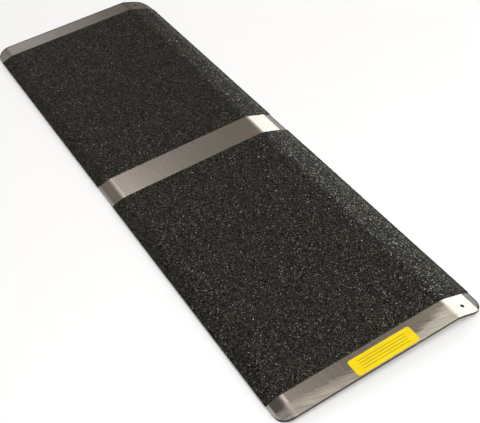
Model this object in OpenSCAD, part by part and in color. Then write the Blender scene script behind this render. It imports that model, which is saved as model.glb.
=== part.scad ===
// Threshold ramp: one bent aluminium sheet with two grit panels and a label.
// X runs up the ramp from toe to lip, Y along the doorway and Z up from the floor.

/* [Sheet] */
// Length of the sheet along the doorway
sheet_len = 813; // [500:1:1200]
// Thickness of the sheet
sheet_t = 3.2; // [2.2:0.1:6]
// Flat of the deck between its two bends
deck_flat = 199.9; // [140:0.1:400]
// Inside radius of both bends
bend_inner_r = 24; // [4:0.5:30]
// Radius of the four corners, seen square to the deck
corner_r = 18; // [6:0.5:26]

/* [Toe] */
// Flat of the toe past its bend
toe_flat = 12.8; // [8:0.1:40]
// Angle that the toe turns down from the deck
toe_angle = 19; // [8:0.5:35]

/* [Lip] */
// Flat of the lip from its bend to the ground bevel
lip_flat = 24.8; // [20:0.1:60]
// Angle that the lip turns down from the deck
lip_angle = 20; // [8:0.5:35]
// Width of the bevel along the lip
bevel_w = 11.5; // [4:0.5:14]
// Angle that the bevel turns down from the lip
bevel_angle = 9; // [3:0.5:12]

/* [Screw holes] */
// Diameter of the two screw holes in the lip
hole_d = 4.8; // [3:0.1:8]
// Distance of a hole's centre from the lip's bend
hole_from_bend = 10.6; // [6:0.1:16]
// Distance of a hole's centre from the end of the sheet
hole_from_end = 12.7; // [9:0.1:25]

/* [Grit panels] */
// Bare metal between a panel and the end of the sheet
end_margin = 29.2; // [27:0.1:40]
// Bare metal between the two panels
middle_gap = 44.2; // [10:0.1:100]
// How far a panel stands past the sheet's long edges
panel_overhang = 0.5; // [0.1:0.1:2]
// Thickness of the adhesive under a panel
panel_glue_t = 0.15; // [0.1:0.05:0.4]
// Thickness of the film that carries the grit
panel_film_t = 0.2; // [0.1:0.05:0.5]
// Thickness of the coat of grit
grit_t = 0.75; // [0.4:0.05:1.5]

/* [Label] */
// Length of the label across the deck
label_len = 79.6; // [40:0.1:100]
// Width of the label along the doorway
label_w = 21.3; // [10:0.1:23]
// Corner radius of the label
label_corner_r = 3.2; // [0.5:0.1:4.5]
// Gap between the label and the end of the sheet
label_from_end = 1.2; // [0.5:0.1:5]
// Distance of the label's centre from the middle of the deck, towards the lip
label_offset = 12.9; // [-15:0.1:20]
// Thickness of the adhesive under the label
label_glue_t = 0.1; // [0.05:0.05:0.3]
// Thickness of the label's film
label_film_t = 0.15; // [0.05:0.05:0.4]

/* [Hidden] */
$fn = 96;

// How far cuts run past the faces that they cut
overrun = 5;
// Keeps the cut of the round corners clear of the long edges that it runs into
corner_ease = 0.01;
// Flats that each bend is made of
bend_steps = 10;

// Heights over the top face of the sheet
panel_film_z = panel_glue_t;
panel_grit_z = panel_film_z + panel_film_t;
panel_top_z = panel_grit_z + grit_t;

// Radius of the bends on the top face, and slope length of the bevel
bend_outer_r = bend_inner_r + sheet_t;
bevel_face = bevel_w / cos(bevel_angle);

// Length of each panel along the doorway, and distance of its middle from the sheet's
panel_len = (sheet_len - middle_gap) / 2 - end_margin;
panel_y = (middle_gap + panel_len) / 2;

// Points of the section, where x runs across the level deck and y up from its top face.
// Each lies past a bend by along and off the top face by height.
function flange_point(angle, along, height) = [
    (bend_outer_r + height) * sin(angle) + along * cos(angle),
    (bend_outer_r + height) * cos(angle) - along * sin(angle) - bend_outer_r
];
function toe_point(angle, along, height) =
    let (p = flange_point(angle, along, height)) [-p.x, p.y];
function lip_point(angle, along, height) =
    [deck_flat, 0] + flange_point(angle, along, height);
function bevel_point(along, height) =
    let (angle = lip_angle + bevel_angle)
    lip_point(lip_angle, lip_flat, 0)
        + along * [cos(angle), -sin(angle)]
        + height * [sin(angle), cos(angle)];

// Point of a layer over the start of the bevel, where its two flats meet
function mitre_point(height) =
    let (angle = lip_angle + bevel_angle / 2)
    lip_point(lip_angle, lip_flat, 0)
        + height / cos(bevel_angle / 2) * [sin(angle), cos(angle)];

// Line at one height over the top face, from the toe's edge to the end of the lip's bend
function bent_line(height, toe_end) = concat(
    [toe_point(toe_angle, toe_end, height)],
    [for (i = [bend_steps : -1 : 0]) toe_point(toe_angle * i / bend_steps, 0, height)],
    [for (i = [0 : bend_steps]) lip_point(lip_angle * i / bend_steps, 0, height)]
);

// Line of a panel's face, which goes on over the lip and the bevel
function panel_line(height) = concat(
    bent_line(height, toe_flat + panel_overhang),
    [mitre_point(height), bevel_point(bevel_face + panel_overhang, height)]
);

function reversed(list) = [for (i = [len(list) - 1 : -1 : 0]) list[i]];

// The two lower edges that stand on the floor, and the tilt that levels them
toe_foot = toe_point(toe_angle, toe_flat, -sheet_t);
lip_foot = lip_point(lip_angle, lip_flat + bevel_w, -sheet_t);
tilt = -atan2(lip_foot.y - toe_foot.y, lip_foot.x - toe_foot.x);

function tilted(p) = [
    p.x * cos(tilt) - p.y * sin(tilt),
    p.x * sin(tilt) + p.y * cos(tilt)
];

// Outermost points across the ramp, which centre it over the origin
toe_tip = tilted(toe_point(toe_angle, toe_flat + panel_overhang, panel_top_z));
lip_tip = tilted(bevel_point(bevel_face + panel_overhang, panel_top_z));
floor_shift = [-(toe_tip.x + lip_tip.x) / 2, -tilted(toe_foot).y];

// Span of the bare sheet, seen square to the deck
sheet_from = toe_point(toe_angle, toe_flat, 0).x;
sheet_to = bevel_point(bevel_face, 0).x;

// Stands a shape drawn on the level deck on the floor
module on_floor() {
    translate([floor_shift.x, 0, floor_shift.y])
        rotate([0, -tilt, 0])
            children();
}

// Runs a section along the doorway, with its middle at y
module along_doorway(length, y) {
    translate([0, y, 0])
        rotate([90, 0, 0])
            linear_extrude(height = length, center = true)
                children();
}

// Rectangle with round corners, centred on the origin
module rounded_rectangle(across, along, r) {
    square([across - 2 * r, along], center = true);
    square([across, along - 2 * r], center = true);
    for (x = [-1, 1], y = [-1, 1])
        translate([x * (across / 2 - r), y * (along / 2 - r)])
            circle(r);
}

// Upright block that gives the sheet its ends and its round corners
module sheet_outline() {
    across = sheet_to - sheet_from + 2 * corner_ease;
    translate([(sheet_from + sheet_to) / 2, 0, 0])
        linear_extrude(height = across, center = true) {
            rounded_rectangle(across, sheet_len, corner_r);
            square([across + 2 * overrun, sheet_len - 2 * corner_r], center = true);
        }
}

// The two screw holes, square to the lip
module screw_holes() {
    for (end = [-1, 1])
        translate([deck_flat, end * (sheet_len / 2 - hole_from_end), -bend_outer_r])
            rotate([0, lip_angle, 0])
                translate([hole_from_bend, 0, bend_inner_r - overrun])
                    cylinder(d = hole_d, h = sheet_t + 2 * overrun);
}

// Section of the bent sheet, with the bevel ground off the lip's top face
module sheet_section() {
    polygon(concat(
        bent_line(0, toe_flat),
        [lip_point(lip_angle, lip_flat, 0), bevel_point(bevel_face, 0), lip_foot],
        reversed(bent_line(-sheet_t, toe_flat))
    ));
}

// Bent sheet with its ground bevel, round corners and screw holes
module deck_plate() {
    color("silver")
        on_floor()
            difference() {
                intersection() {
                    along_doorway(sheet_len + 2 * overrun, 0) sheet_section();
                    sheet_outline();
                }
                screw_holes();
            }
}

// One layer of a panel on the near side (-1) or the far side (1)
module panel_layer(side, low, high) {
    on_floor()
        along_doorway(panel_len, side * panel_y)
            polygon(concat(panel_line(high), reversed(panel_line(low))));
}

module near_panel_adhesive() {
    color("dimgray") panel_layer(-1, 0, panel_film_z);
}

module near_panel_film() {
    color("darkslategray") panel_layer(-1, panel_film_z, panel_grit_z);
}

module near_panel_grit() {
    color("black") panel_layer(-1, panel_grit_z, panel_top_z);
}

module far_panel_adhesive() {
    color("dimgray") panel_layer(1, 0, panel_film_z);
}

module far_panel_film() {
    color("darkslategray") panel_layer(1, panel_film_z, panel_grit_z);
}

module far_panel_grit() {
    color("black") panel_layer(1, panel_grit_z, panel_top_z);
}

// One layer of the label, between two heights over the deck
module label_layer(low, high) {
    on_floor()
        translate([deck_flat / 2 + label_offset, label_from_end + (label_w - sheet_len) / 2, low])
            linear_extrude(height = high - low)
                rounded_rectangle(label_len, label_w, label_corner_r);
}

module label_adhesive() {
    color("lightyellow") label_layer(0, label_glue_t);
}

module label_film() {
    color("gold") label_layer(label_glue_t, label_glue_t + label_film_t);
}

deck_plate();
near_panel_adhesive();
near_panel_film();
near_panel_grit();
far_panel_adhesive();
far_panel_film();
far_panel_grit();
label_adhesive();
label_film();
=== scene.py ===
from math import pi, radians

import bmesh
import bpy
import numpy as np
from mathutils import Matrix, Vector
from mathutils.bvhtree import BVHTree


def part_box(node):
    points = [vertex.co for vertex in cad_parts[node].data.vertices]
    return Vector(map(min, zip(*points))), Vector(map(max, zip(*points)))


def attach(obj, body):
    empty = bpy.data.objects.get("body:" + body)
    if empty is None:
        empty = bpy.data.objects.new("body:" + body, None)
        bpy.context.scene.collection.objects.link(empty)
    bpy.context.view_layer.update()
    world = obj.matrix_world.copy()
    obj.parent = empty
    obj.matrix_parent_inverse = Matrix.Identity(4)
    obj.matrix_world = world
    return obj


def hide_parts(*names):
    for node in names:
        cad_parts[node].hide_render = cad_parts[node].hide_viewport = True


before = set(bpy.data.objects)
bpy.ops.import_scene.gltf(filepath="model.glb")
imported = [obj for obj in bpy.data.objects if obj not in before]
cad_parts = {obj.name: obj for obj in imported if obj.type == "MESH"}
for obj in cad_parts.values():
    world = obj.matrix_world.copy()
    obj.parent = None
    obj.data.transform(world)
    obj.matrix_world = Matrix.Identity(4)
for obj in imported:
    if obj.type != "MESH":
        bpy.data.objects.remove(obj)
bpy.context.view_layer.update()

scene = bpy.context.scene
scene.view_settings.view_transform = "Standard"


# Camera: it stands off the toe side of the near end and looks down along the ramp.
# Its place, turn and lens come from a fit to the outline and to the panels' edges.
camera_data = bpy.data.cameras.new("camera")
camera_data.sensor_fit = "HORIZONTAL"
camera_data.sensor_width = 36.0
camera_data.lens = 64.143
camera_data.clip_start = 0.01
camera = bpy.data.objects.new("camera", camera_data)
camera.location = (-0.36605, -0.79790, 0.72967)
camera.rotation_euler = (radians(46.3593), radians(3.6906), radians(-31.6042))
scene.collection.objects.link(camera)
scene.camera = camera


# Sheet: one plate of 3.2 mm aluminium with a mill finish, sheared to size with round corners, drilled for
# two screws, and bent down along both long edges to a short toe and a wider lip. The lip's outer edge is
# ground to a bevel, the rim is deburred, and the near end is sanded by hand beside the label.
(toe_edge, near_end, _), (lip_edge, far_end, _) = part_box("deck_plate")
hole_x, hole_y, hole_reach = 0.10752, 0.3938, 0.004
bevel_from, bevel_to = 0.1215, 0.1319
corner_round = 0.018
rim_round, lip_foot_round, hole_round = 0.0008, 0.0004, 0.0002
round_steps = 3
sharp_from = radians(40.0)
sheared_below = 0.4
merge_reach, flat_within = 1e-6, radians(0.3)

# Where the finishes lie: the ground bevel, a painted highlight along the toe's outer rim, a painted shade
# line along the bevel's outer edge and on the far end, and the sanding, which reaches further in from the
# near end by the toe and by the lip than by the label, and is painted lighter towards the lip as sheen.
ground_fade = 0.0003
toe_rim_from, toe_rim_to = 0.0010, 0.0040
edge_shade_width, edge_shade_fade, far_end_shade = 0.0022, 0.0004, 0.8
toe_zone, lip_zone = (-0.115, -0.030), (0.035, 0.095)
sanded_at_toe, sanded_at_label, sanded_more_at_lip = 0.0145, 0.0095, 0.0105
sanded_ragged, sanded_fade = 0.022, 0.0035
# Painted sheen makes the sanding lighter towards the lip; the strokes add real wear.
sheen_zone, sheen_by_zone, worn_by_stroke = (-0.05, 0.05), 0.45, 0.5

# Grain of each finish, its roughness from the low to the high of that grain, and its relief.
noise_middle, noise_span, noise_core = 0.5, (0.3, 0.7), (0.35, 0.65)
rolling_size, rolled_rough = (0.006, 0.15, 0.006), (0.255, 0.275)
cloud_size = (0.06, 0.09, 0.06)
stroke_size, stroke_turn, sanded_rough = (0.022, 0.0017, 0.022), radians(-17.0), (0.35, 0.47)
grinding_size, ground_rough, grinding_relief = (0.022, 0.0008, 0.022), (0.18, 0.26), (0.4, 0.6)
toe_rim_rough = (0.52, 0.62)
tear_size, sheared_rough = (0.002, 0.002, 0.008), (0.45, 0.65)
scratch_depth, stroke_relief, tear_relief = 0.0002, 0.22, 0.3

mill_colour = (0.56, 0.52, 0.46, 1.0)
mill_dark = (0.50, 0.455, 0.39, 1.0)
sanded_colour = (0.78, 0.735, 0.645, 1.0)
sanded_dark = (0.475, 0.430, 0.370, 1.0)
ground_colour = (0.44, 0.432, 0.410, 1.0)
# The ground bevel's colour at its inner edge, darker there as painted shade.
ground_shaded = (0.30, 0.295, 0.280, 1.0)
# Painted highlight colour of the toe's outer rim.
toe_rim_highlight_colour = (0.54, 0.525, 0.50, 1.0)
# The cut faces and the rounded rim are darker as dull torn metal and, much more, as painted shade.
sheared_shaded_dark = (0.034, 0.032, 0.029, 1.0)
sheared_shaded_light = (0.085, 0.080, 0.073, 1.0)
# Painted shade colour of the dark line round the bevel's outer edge and the far end.
edge_shade_colour = (0.045, 0.043, 0.040, 1.0)


def add(tree, kind, inputs=None, **settings):
    """One node of a tree. An input is given a value, or the socket that feeds it."""
    made = tree.nodes.new(kind)
    for name, value in settings.items():
        setattr(made, name, value)
    for name, value in (inputs or {}).items():
        if isinstance(value, bpy.types.NodeSocket):
            tree.links.new(value, made.inputs[name])
        else:
            made.inputs[name].default_value = value
    return made


def new_finish(name):
    """A material with its shader, its tree and the piece's own coordinates."""
    finish = bpy.data.materials.new(name)
    finish.use_nodes = True
    tree = finish.node_tree
    shader = tree.nodes["Principled BSDF"]
    place = add(tree, "ShaderNodeTexCoord").outputs["Object"]
    return finish, tree, shader, place


def noise(tree, place, size, detail=2.0, turn=0.0):
    """Grey noise whose spots have that size along each axis, in metres, turned about the upright axis."""
    laid = add(tree, "ShaderNodeMapping", {
        "Vector": place, "Rotation": (0.0, 0.0, turn), "Scale": size}, vector_type="TEXTURE")
    return add(tree, "ShaderNodeTexNoise", {
        "Vector": laid.outputs["Vector"], "Scale": 1.0, "Detail": detail}).outputs["Fac"]


def ramp(tree, value, low, high, to_low, to_high, smooth=False):
    """A value carried from one range to another, and held at its ends."""
    return add(tree, "ShaderNodeMapRange", {
        "Value": value, "From Min": low, "From Max": high, "To Min": to_low, "To Max": to_high},
        interpolation_type="SMOOTHSTEP" if smooth else "LINEAR").outputs["Result"]


def maths(tree, operation, first, second=0.0):
    """A sum on two numbers, or on one."""
    return add(tree, "ShaderNodeMath", {0: first, 1: second}, operation=operation).outputs[0]


def mixed(tree, share, first, second):
    """A mix of two colours, or of two numbers."""
    colours = hasattr(first, "__len__") or getattr(first, "type", "") == "RGBA"
    inputs = {0: share, 6: first, 7: second} if colours else {0: share, 2: first, 3: second}
    node = add(tree, "ShaderNodeMix", inputs, data_type="RGBA" if colours else "FLOAT")
    return node.outputs[2 if colours else 0]


def scratched(tree, shader, height, relief):
    """Gives a finish fine scratches or tears that follow a grey noise."""
    bump = add(tree, "ShaderNodeBump", {"Height": height, "Strength": relief, "Distance": scratch_depth})
    tree.links.new(bump.outputs["Normal"], shader.inputs["Normal"])


def off_rim(tree, axes):
    """Distance from the sheet's outline, seen from above, with its round corners."""
    past = []
    for axis, low, high in (("X", toe_edge, lip_edge), ("Y", near_end, far_end)):
        off_middle = maths(tree, "ABSOLUTE", maths(tree, "SUBTRACT", axes[axis], (low + high) / 2))
        past.append(maths(tree, "SUBTRACT", off_middle, (high - low) / 2 - corner_round))
    out = [maths(tree, "MAXIMUM", side, 0.0) for side in past]
    squares = [maths(tree, "MULTIPLY", side, side) for side in out]
    far = maths(tree, "SQRT", maths(tree, "ADD", *squares))
    inner = maths(tree, "MINIMUM", maths(tree, "MAXIMUM", *past), 0.0)
    return maths(tree, "SUBTRACT", corner_round, maths(tree, "ADD", far, inner))


def mill_finish():
    """Rolled aluminium, with the hand-sanded zone of the near end and the ground bevel in it, and painted
    highlight, sheen and shade.
    """
    finish, tree, shader, place = new_finish("mill_aluminium")
    axes = add(tree, "ShaderNodeSeparateXYZ", {0: place}).outputs

    rolled = noise(tree, place, rolling_size)
    cloud = noise(tree, place, cloud_size)
    strokes = noise(tree, place, stroke_size, 3.0, stroke_turn)
    grinding = noise(tree, place, grinding_size)

    from_end = maths(tree, "SUBTRACT", axes["Y"], near_end)
    reach = maths(tree, "ADD", ramp(tree, axes["X"], *toe_zone, sanded_at_toe, sanded_at_label, True),
                  ramp(tree, axes["X"], *lip_zone, 0.0, sanded_more_at_lip, True))
    ragged = maths(tree, "MULTIPLY", maths(tree, "SUBTRACT", strokes, noise_middle), sanded_ragged)
    beyond = maths(tree, "ADD", maths(tree, "SUBTRACT", from_end, reach), ragged)
    sanded = ramp(tree, beyond, -sanded_fade, sanded_fade, 1.0, 0.0, True)
    ground = ramp(tree, axes["X"], bevel_from - ground_fade, bevel_from + ground_fade, 0.0, 1.0)
    # Painted highlight: a lighter band along the toe's outer rim, for the light that the rim catches.
    toe_rim_highlight = ramp(tree, axes["X"], toe_edge + toe_rim_from, toe_edge + toe_rim_to, 1.0, 0.0, True)
    # Painted shade: a dark line round the outline, on the bevel's outer edge and, weaker, on the far end.
    edge_shade_line = ramp(tree, off_rim(tree, axes), edge_shade_width - edge_shade_fade, edge_shade_width + edge_shade_fade, 1.0, 0.0)
    at_far_end = ramp(tree, axes["Y"], far_end - corner_round, far_end - corner_round / 2,
                      0.0, far_end_shade, True)
    edge_shade_line = maths(tree, "MULTIPLY", edge_shade_line, maths(tree, "MAXIMUM", ground, at_far_end))

    colour = mixed(tree, ramp(tree, cloud, *noise_core, 0.0, 1.0), mill_colour, mill_dark)
    # The sanding is lighter where its strokes are worn, and lighter towards the lip as painted sheen from
    # the lip-side light.
    stroke_wear_and_sheen = maths(tree, "ADD", ramp(tree, axes["X"], *sheen_zone, 0.0, sheen_by_zone, True),
                 ramp(tree, strokes, *noise_core, 0.0, worn_by_stroke))
    colour = mixed(tree, sanded, colour, mixed(tree, stroke_wear_and_sheen, sanded_dark, sanded_colour))
    # Painted shade: the ground bevel is darker at its inner edge and lighter towards its outer edge.
    bevel_shade_share = ramp(tree, axes["X"], bevel_from, bevel_to, 0.0, 1.0)
    colour = mixed(tree, ground, colour, mixed(tree, bevel_shade_share, ground_shaded, ground_colour))
    colour = mixed(tree, toe_rim_highlight, colour, toe_rim_highlight_colour)
    colour = mixed(tree, edge_shade_line, colour, edge_shade_colour)
    tree.links.new(colour, shader.inputs["Base Color"])

    rough = ramp(tree, rolled, *noise_span, *rolled_rough)
    rough = mixed(tree, sanded, rough, ramp(tree, strokes, *noise_span, *sanded_rough))
    rough = mixed(tree, ground, rough, ramp(tree, grinding, *noise_span, *ground_rough))
    rough = mixed(tree, toe_rim_highlight, rough, ramp(tree, strokes, *noise_span, *toe_rim_rough))
    tree.links.new(rough, shader.inputs["Roughness"])

    lines = mixed(tree, sanded, noise_middle, strokes)
    lines = mixed(tree, ground, lines, ramp(tree, grinding, 0.0, 1.0, *grinding_relief))
    scratched(tree, shader, lines, stroke_relief)
    shader.inputs["Metallic"].default_value = 1.0
    return finish


def sheared_shaded_finish():
    """The cut face of the sheet: torn and dull, and painted far darker than the rolled face as shade."""
    finish, tree, shader, place = new_finish("sheared_shaded_edge")
    torn = noise(tree, place, tear_size, 3.0)
    tree.links.new(mixed(tree, torn, sheared_shaded_dark, sheared_shaded_light), shader.inputs["Base Color"])
    tree.links.new(ramp(tree, torn, *noise_span, *sheared_rough), shader.inputs["Roughness"])
    scratched(tree, shader, torn, tear_relief)
    shader.inputs["Metallic"].default_value = 1.0
    return finish


def plain_mesh(piece):
    """Turns what a piece's modifiers make into its own mesh."""
    bpy.context.view_layer.update()
    made = bpy.data.meshes.new_from_object(piece.evaluated_get(bpy.context.evaluated_depsgraph_get()))
    piece.modifiers.clear()
    piece.data = made
    made.name = piece.name


def merged_copy(node):
    """A CAD node's faces as one closed mesh of flat faces."""
    mesh = bmesh.new()
    mesh.from_mesh(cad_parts[node].data)
    bmesh.ops.remove_doubles(mesh, verts=mesh.verts, dist=merge_reach)
    bmesh.ops.dissolve_limit(mesh, angle_limit=flat_within, verts=mesh.verts, edges=mesh.edges)
    return mesh


def new_piece(name, mesh_data, *finishes):
    """An object of the scene with a mesh and its finishes."""
    piece = bpy.data.objects.new(name, mesh_data)
    scene.collection.objects.link(piece)
    for finish in finishes:
        mesh_data.materials.append(finish)
    return piece


sheet_shape = merged_copy("deck_plate")
for face in sheet_shape.faces:
    face.smooth = True
    face.material_index = 1 if abs(face.normal.z) < sheared_below else 0
share_of_round = sheet_shape.edges.layers.float.new("bevel_weight_edge")
for edge in sheet_shape.edges:
    if edge.calc_face_angle() > sharp_from:
        middle = (edge.verts[0].co + edge.verts[1].co) / 2
        off_hole = (Vector((middle.x, abs(middle.y))) - Vector((hole_x, hole_y))).length
        at_lip_foot = middle.x > bevel_from and middle.z < rim_round
        round_here = hole_round if off_hole < hole_reach else lip_foot_round if at_lip_foot else rim_round
        edge[share_of_round] = round_here / rim_round
sheet_mesh = bpy.data.meshes.new("bent_sheet")
sheet_shape.to_mesh(sheet_mesh)
sheet_shape.free()
sheet = new_piece("bent_sheet", sheet_mesh, mill_finish(), sheared_shaded_finish())
deburr = sheet.modifiers.new("deburred rim", "BEVEL")
deburr.limit_method = "WEIGHT"
deburr.width = rim_round
deburr.segments = round_steps
# The rounded rim takes the cut faces' finish, with its painted shade.
deburr.material = 1
true_flats = sheet.modifiers.new("true flats", "WEIGHTED_NORMAL")
true_flats.keep_sharp = True
plain_mesh(sheet)
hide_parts("deck_plate")
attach(sheet, "root")


# Grit panels: two pieces of black safety tape, cut square and pressed on from edge to edge, so that they
# follow both bends and the bevel. Each is a layer of adhesive, a film, and a coat of crushed mineral in
# black resin, with coarser grains standing out of it. Along the lip's edge a band of the coat is painted
# dark as shade, and the grains stand clear of it.
cell, cell_shake = 0.0013, 0.36
coat_low, coat_high = 0.00020, 0.00050
# Width of the band along the lip's edge that is painted dark as shade, and that the grains keep clear of.
dark_lip_band = 0.0028
grain_size, grain_spacing, grain_density = 0.00062, 0.0021, 900000.0
grain_sides, grain_rings = 4, 2
grain_least, grain_most = 0.55, 1.25
grain_sink, grain_inset, grains_above = 0.00040, 0.0005, 0.5
size_seed, tone_seed = 31, 47

# Broken faces in the material: their size and lean, how their tones are drawn, and which of them shine.
fine_grain, facet_lean = 0.0012, 0.32
tone_draw, shade_folds, shade_power = (17.3, 31.7, 7.9), 9.0, 1.6
coat_flakes_from, grain_flakes_from, flake_fade = 0.77, 0.87, 0.02
speck_size, resin_rough, flake_rough = (0.0011, 0.0011, 0.0011), (0.50, 0.30), 0.16
grit_gloss, gloss_tint = 0.05, (1.0, 0.97, 0.80, 1.0)
cut_size, cut_rough = (0.004, 0.004, 0.001), (0.38, 0.55)

resin_black = (0.0030, 0.0028, 0.0024, 1.0)
resin_grey = (0.054, 0.0522, 0.0415, 1.0)
flake_dark = (0.012, 0.0115, 0.0100, 1.0)
flake_light = (0.230, 0.221, 0.197, 1.0)
film_dark = (0.006, 0.006, 0.006, 1.0)
film_light = (0.016, 0.015, 0.014, 1.0)
glue_dark = (0.010, 0.009, 0.008, 1.0)
glue_light = (0.024, 0.021, 0.018, 1.0)


def vectors(tree, operation, inputs):
    """A sum on vectors. Its first output is a vector, and the one named Value a number."""
    return add(tree, "ShaderNodeVectorMath", inputs, operation=operation).outputs


def grit_finish(name, tone_of_grain, flakes_from):
    """Black resin over crushed mineral: dull between the grains, with glassy broken faces on them."""
    finish, tree, shader, place = new_finish(name)
    speck = noise(tree, place, speck_size)
    split = add(tree, "ShaderNodeTexVoronoi", {"Vector": place, "Scale": 1.0 / fine_grain})
    split_colour = split.outputs["Color"]
    tone = maths(tree, "FRACT", vectors(tree, "DOT_PRODUCT", {0: split_colour, 1: tone_draw})["Value"])
    folded = maths(tree, "FRACT", maths(tree, "MULTIPLY", tone, shade_folds))
    shade = maths(tree, "POWER", folded, shade_power)
    if tone_of_grain:
        tone = add(tree, "ShaderNodeAttribute", attribute_name="grain_tone").outputs["Fac"]
    flake = ramp(tree, tone, flakes_from, flakes_from + flake_fade, 0.0, 1.0)
    axes = add(tree, "ShaderNodeSeparateXYZ", {0: place}).outputs
    # Painted shade: the coat and the grains turn dark and lose their flakes in a band along the lip's
    # edge.
    off_lip = maths(tree, "SUBTRACT", lip_edge, axes["X"])
    clear_of_dark_band = ramp(tree, off_lip, dark_lip_band / 2, dark_lip_band, 0.0, 1.0)
    flake = maths(tree, "MULTIPLY", flake, clear_of_dark_band)
    shade = maths(tree, "MULTIPLY", shade, clear_of_dark_band)
    resin = mixed(tree, shade, resin_black, resin_grey)
    colour = mixed(tree, flake, resin, mixed(tree, shade, flake_dark, flake_light))
    tree.links.new(colour, shader.inputs["Base Color"])
    tree.links.new(flake, shader.inputs["Metallic"])
    dull = ramp(tree, speck, *noise_span, *resin_rough)
    tree.links.new(mixed(tree, flake, dull, flake_rough), shader.inputs["Roughness"])
    lean = vectors(tree, "SUBTRACT", {0: split_colour, 1: (noise_middle,) * 3})[0]
    lean = vectors(tree, "SCALE", {0: lean, "Scale": facet_lean})[0]
    up = add(tree, "ShaderNodeNewGeometry").outputs["Normal"]
    leant = vectors(tree, "ADD", {0: up, 1: lean})[0]
    tree.links.new(vectors(tree, "NORMALIZE", {0: leant})[0], shader.inputs["Normal"])
    shader.inputs["Specular IOR Level"].default_value = grit_gloss
    shader.inputs["Specular Tint"].default_value = gloss_tint
    return finish


def tape_finish(name, dark, light):
    """Smooth film or adhesive, of which only the cut edge shows."""
    finish, tree, shader, place = new_finish(name)
    cut = noise(tree, place, cut_size)
    tree.links.new(mixed(tree, cut, dark, light), shader.inputs["Base Color"])
    tree.links.new(ramp(tree, cut, *noise_span, *cut_rough), shader.inputs["Roughness"])
    return finish


def coat_of_grit(node, name, finish, seed):
    """A rough closed skin over the film: each cell of its top stands at its own height."""
    draw = np.random.default_rng(seed)
    source = merged_copy(node)
    over = BVHTree.FromBMesh(source)
    source.free()
    (x0, y0, _), (x1, y1, z1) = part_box(node)
    across = round((x1 - x0) / cell) + 1
    along = round((y1 - y0) / cell) + 1
    xs = np.linspace(x0, x1, across)
    ys = np.linspace(y0, y1, along)
    middle = (y0 + y1) / 2
    inset, start_below, start_above = 1e-6, 1e-5, 1.0
    tops, ups, lows = [], [], []
    for x in np.clip(xs, x0 + inset, x1 - inset):
        point, up, _, _ = over.ray_cast(Vector((x, middle, z1 + start_above)), Vector((0.0, 0.0, -1.0)))
        under, _, _, _ = over.ray_cast(point - up * start_below, -up)
        tops.append(point)
        ups.append(up)
        lows.append((point - under).length)
    tops = np.array(tops)
    ups = np.array(ups)
    thick = np.median(lows)
    bottoms = tops - ups * thick

    sunk = thick - draw.uniform(coat_low, coat_high, (across, along))
    shake_x = draw.uniform(-cell_shake, cell_shake, (across, along)) * cell
    shake_y = draw.uniform(-cell_shake, cell_shake, (across, along)) * cell
    for shake in (shake_x, shake_y):
        shake[[0, -1], :] = 0.0
        shake[:, [0, -1]] = 0.0
    slope = np.stack([ups[:, 2], -ups[:, 0]], axis=1)
    top = np.empty((across, along, 3))
    top[:, :, 0] = tops[:, None, 0] - ups[:, None, 0] * sunk + slope[:, None, 0] * shake_x
    top[:, :, 1] = ys[None, :] + shake_y
    top[:, :, 2] = tops[:, None, 2] - ups[:, None, 2] * sunk + slope[:, None, 1] * shake_x

    points = [tuple(p) for p in top.reshape(-1, 3)]
    near_line = len(points)
    points += [(b[0], y0, b[2]) for b in bottoms]
    far_line = len(points)
    points += [(b[0], y1, b[2]) for b in bottoms]

    def at(i, j):
        return i * along + j

    faces = [(at(i, j), at(i + 1, j), at(i + 1, j + 1), at(i, j + 1))
             for i in range(across - 1) for j in range(along - 1)]
    for i in range(across - 1):
        faces.append((near_line + i, far_line + i, far_line + i + 1, near_line + i + 1))
        faces.append((near_line + i, near_line + i + 1, at(i + 1, 0), at(i, 0)))
        faces.append((far_line + i + 1, far_line + i, at(i, along - 1), at(i + 1, along - 1)))
    faces.append([at(0, j) for j in range(along)] + [far_line, near_line])
    faces.append([at(across - 1, j) for j in reversed(range(along))]
                 + [near_line + across - 1, far_line + across - 1])
    mesh = bpy.data.meshes.new(name)
    mesh.from_pydata(points, [], faces)
    return new_piece(name, mesh, finish)


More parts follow.
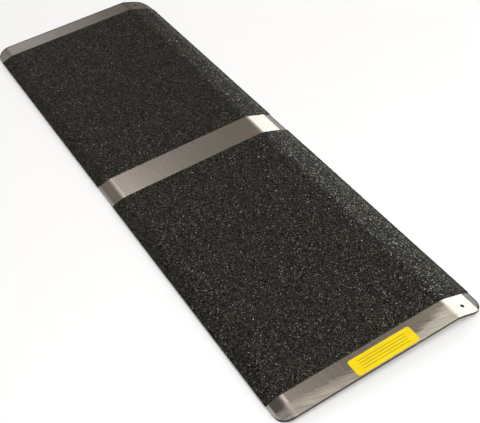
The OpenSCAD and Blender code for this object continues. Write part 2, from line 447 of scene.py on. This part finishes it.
def grain_tree():
    """Scatters broken grains over a face, each with its own size, turn and tone."""
    tree = bpy.data.node_groups.new("standing grains", "GeometryNodeTree")
    ports = tree.interface
    ports.new_socket("Geometry", in_out="OUTPUT", socket_type="NodeSocketGeometry")
    ports.new_socket("Geometry", in_out="INPUT", socket_type="NodeSocketGeometry")
    ids = {}
    for name, kind in (("Grain Size", "NodeSocketFloat"), ("Spacing", "NodeSocketFloat"),
                       ("Seed", "NodeSocketInt"), ("Finish", "NodeSocketMaterial")):
        ids[name] = ports.new_socket(name, in_out="INPUT", socket_type=kind).identifier
    given = add(tree, "NodeGroupInput").outputs
    spots = add(tree, "GeometryNodeDistributePointsOnFaces", {
        "Mesh": given["Geometry"], "Distance Min": given["Spacing"], "Density Max": grain_density,
        "Seed": given["Seed"]}, distribute_method="POISSON")
    grain = add(tree, "GeometryNodeMeshUVSphere", {
        "Segments": grain_sides, "Rings": grain_rings, "Radius": given["Grain Size"]})
    turn = add(tree, "FunctionNodeRandomValue", {
        0: (0.0, 0.0, 0.0), 1: (2 * pi, 2 * pi, 2 * pi), "Seed": given["Seed"]},
        data_type="FLOAT_VECTOR")
    size = add(tree, "FunctionNodeRandomValue", {
        0: (grain_least,) * 3, 1: (grain_most,) * 3, "Seed": size_seed}, data_type="FLOAT_VECTOR")
    stand = add(tree, "GeometryNodeInstanceOnPoints", {
        "Points": spots.outputs["Points"], "Instance": grain.outputs["Mesh"],
        "Rotation": turn.outputs[0], "Scale": size.outputs[0]})
    tone = add(tree, "FunctionNodeRandomValue", {2: 0.0, 3: 1.0, "Seed": tone_seed}, data_type="FLOAT")
    toned = add(tree, "GeometryNodeStoreNamedAttribute", {
        "Geometry": stand.outputs["Instances"], "Name": "grain_tone", "Value": tone.outputs[1]},
        data_type="FLOAT", domain="INSTANCE")
    real = add(tree, "GeometryNodeRealizeInstances", {"Geometry": toned.outputs["Geometry"]})
    finished = add(tree, "GeometryNodeSetMaterial", {
        "Geometry": real.outputs["Geometry"], "Material": given["Finish"]})
    add(tree, "NodeGroupOutput", {"Geometry": finished.outputs["Geometry"]})
    return tree, ids


def standing_grains(node, name, finish, seed):
    """The coarse grains of one panel, half sunk in its coat and clear of its edges."""
    shape = merged_copy(node)
    rest = [face for face in shape.faces if face.normal.z <= grains_above]
    bmesh.ops.delete(shape, geom=rest, context="FACES")
    (x0, y0, _), (x1, y1, _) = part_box(node)
    for vert in shape.verts:
        vert.co.z -= grain_sink
        vert.co.x = min(max(vert.co.x, x0 + grain_inset), x1 - grain_inset - dark_lip_band)
        vert.co.y = min(max(vert.co.y, y0 + grain_inset), y1 - grain_inset)
    mesh = bpy.data.meshes.new(name)
    shape.to_mesh(mesh)
    shape.free()
    grains = new_piece(name, mesh, finish)
    tree, ids = grain_tree()
    scatter = grains.modifiers.new("grains", "NODES")
    scatter.node_group = tree
    scatter[ids["Grain Size"]] = grain_size
    scatter[ids["Spacing"]] = grain_spacing
    scatter[ids["Seed"]] = seed
    scatter[ids["Finish"]] = finish
    plain_mesh(grains)
    return grains


coat_look = grit_finish("grit_coat", False, coat_flakes_from)
grain_look = grit_finish("grit_grains", True, grain_flakes_from)
film_look = tape_finish("tape_film", film_dark, film_light)
glue_look = tape_finish("tape_adhesive", glue_dark, glue_light)
for side, seed in (("near", 11), ("far", 23)):
    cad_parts[side + "_panel_film"].material_slots[0].material = film_look
    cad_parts[side + "_panel_adhesive"].material_slots[0].material = glue_look
    coat = coat_of_grit(side + "_panel_grit", side + "_grit_coat", coat_look, seed)
    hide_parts(side + "_panel_grit")
    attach(coat, "root")
    grains = standing_grains(side + "_panel_grit", side + "_grit_grains", grain_look, seed)
    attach(grains, "root")


# Label: a yellow vinyl sticker with round corners, stuck to the near end of the deck by a thin adhesive.
# It is left blank but for four plain ruled lines, two on each side of its middle.
label_middle = [(low + high) / 2 for low, high in zip(*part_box("label_film"))]
line_gap, line_width, line_fade, line_half_length = 0.0036, 0.00055, 0.0001, 0.030
lines_each_side = 2
print_size, print_span = (0.016, 0.016, 0.016), (0.4, 0.75)
scuff_size, scuff_turn, scuff_relief = (0.011, 0.0011, 0.011), radians(20.0), 0.06
vinyl_rough, vinyl_gloss = (0.30, 0.48), 0.25
label_yellow = (0.93, 0.71, 0.004, 1.0)
label_dark = (0.84, 0.62, 0.006, 1.0)
line_colour = (0.30, 0.215, 0.010, 1.0)
label_glue_dark = (0.50, 0.45, 0.25, 1.0)
label_glue_light = (0.60, 0.55, 0.34, 1.0)


def vinyl_finish():
    """Printed vinyl with a satin face, a little scuffed."""
    finish, tree, shader, place = new_finish("yellow_vinyl")
    cloud = noise(tree, place, print_size, 3.0)
    scuff = noise(tree, place, scuff_size, 3.0, scuff_turn)
    colour = mixed(tree, ramp(tree, cloud, *print_span, 0.0, 1.0), label_yellow, label_dark)
    axes = add(tree, "ShaderNodeSeparateXYZ", {0: place}).outputs
    across = maths(tree, "ABSOLUTE", maths(tree, "SUBTRACT", axes["Y"], label_middle[1]))
    along = maths(tree, "ABSOLUTE", maths(tree, "SUBTRACT", axes["X"], label_middle[0]))
    from_line = maths(tree, "PINGPONG", maths(tree, "ADD", across, line_gap / 2), line_gap / 2)
    ruled = ramp(tree, from_line, line_width / 2, line_width / 2 + line_fade, 1.0, 0.0)
    ruled = maths(tree, "MULTIPLY", ruled, maths(tree, "LESS_THAN", across, lines_each_side * line_gap))
    ruled = maths(tree, "MULTIPLY", ruled, maths(tree, "LESS_THAN", along, line_half_length))
    tree.links.new(mixed(tree, ruled, colour, line_colour), shader.inputs["Base Color"])
    tree.links.new(ramp(tree, scuff, *noise_span, *vinyl_rough), shader.inputs["Roughness"])
    scratched(tree, shader, scuff, scuff_relief)
    shader.inputs["Specular IOR Level"].default_value = vinyl_gloss
    return finish


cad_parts["label_film"].material_slots[0].material = vinyl_finish()
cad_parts["label_adhesive"].material_slots[0].material = tape_finish(
    "label_adhesive", label_glue_dark, label_glue_light)


# Floor: a plain white studio floor of matt paper under the ramp, which takes its soft shadow.
# It is wide enough to fill the view from low angles.
floor_half, floor_rough = 30.0, 0.9
paper_size = (0.4, 0.4, 0.4)
paper_dark = (0.968, 0.974, 0.979, 1.0)
paper_light = (0.980, 0.985, 0.990, 1.0)
floor_finish, floor_tree, floor_shader, floor_place = new_finish("white_floor")
paper = mixed(floor_tree, noise(floor_tree, floor_place, paper_size), paper_dark, paper_light)
floor_tree.links.new(paper, floor_shader.inputs["Base Color"])
floor_shader.inputs["Roughness"].default_value = floor_rough
floor_shader.inputs["Specular IOR Level"].default_value = 0.0
floor_mesh = bpy.data.meshes.new("floor")
floor_mesh.from_pydata(
    [(-floor_half, -floor_half, 0.0), (floor_half, -floor_half, 0.0),
     (floor_half, floor_half, 0.0), (-floor_half, floor_half, 0.0)], [], [(0, 1, 2, 3)])
floor = new_piece("floor", floor_mesh, floor_finish)


# Light: two soft boxes on the lip's side, which the lip mirrors, a strip behind that draws the line on the
# toe's bend, and a broad box on the camera's side for the plain level. Round them is a dim room with soft
# bright and dark cards, which the bare metal of the deck mirrors.
lamp_distance = 3.0
# Each box: azimuth and elevation in degrees, width and height in metres, radiance and colour.
lamps = (
    ("lip_side_low_box", 28.0, 17.0, 2.10, 0.64, 2.92, (0.86, 0.92, 1.0)),
    ("lip_side_high_box", 20.0, 33.5, 2.30, 0.98, 2.1, (0.98, 0.98, 0.97)),
    ("back_strip", 85.0, 59.0, 0.70, 1.75, 1.62, (1.0, 0.94, 0.98)),
    ("camera_side_box", -105.0, 62.0, 3.0, 3.0, 2.8, (0.96, 0.98, 1.0)),
)
room_colour = (0.33, 0.295, 0.255, 1.0)
# Each card: azimuth, elevation and reach in degrees, and colour. A later card hangs before an earlier one.
cards = (
    (86.0, 28.0, 23.0, (0.63, 0.61, 0.64, 1.0)),
    (130.0, 60.0, 30.0, (0.02, 0.014, 0.016, 1.0)),
    (65.5, 28.5, 13.0, (0.055, 0.053, 0.036, 1.0)),
    (58.0, 57.0, 10.0, (0.03, 0.022, 0.005, 1.0)),
    (60.0, 8.0, 15.0, (0.05, 0.045, 0.04, 1.0)),
    (94.0, 30.0, 10.0, (0.10, 0.094, 0.096, 1.0)),
    (76.0, 47.0, 13.0, (0.10, 0.090, 0.080, 1.0)),
)


def way(azimuth, elevation):
    """The direction of a lamp or card from the ramp. Azimuth goes from +X towards +Y."""
    a, e = radians(azimuth), radians(elevation)
    return np.cos(e) * np.cos(a), np.cos(e) * np.sin(a), np.sin(e)


for name, azimuth, elevation, width, height, radiance, colour in lamps:
    lamp = bpy.data.lights.new(name, "AREA")
    lamp.shape = "RECTANGLE"
    lamp.size = width
    lamp.size_y = height
    lamp.energy = radiance * pi * width * height
    lamp.color = colour
    stand = bpy.data.objects.new(name, lamp)
    away = Vector(way(azimuth, elevation))
    stand.location = away * lamp_distance
    stand.rotation_euler = away.to_track_quat("Z", "Y").to_euler()
    stand.visible_camera = False
    scene.collection.objects.link(stand)

room = bpy.data.worlds.new("room")
room.use_nodes = True
room_tree = room.node_tree
room_way = add(room_tree, "ShaderNodeTexCoord").outputs["Generated"]
for azimuth, elevation, reach, card_colour in cards:
    facing = vectors(room_tree, "DOT_PRODUCT", {0: room_way, 1: way(azimuth, elevation)})["Value"]
    share = ramp(room_tree, facing, np.cos(radians(reach)), 1.0, 0.0, 1.0, True)
    room_colour = mixed(room_tree, share, room_colour, card_colour)
room_tree.links.new(room_colour, room_tree.nodes["Background"].inputs["Color"])
scene.world = room
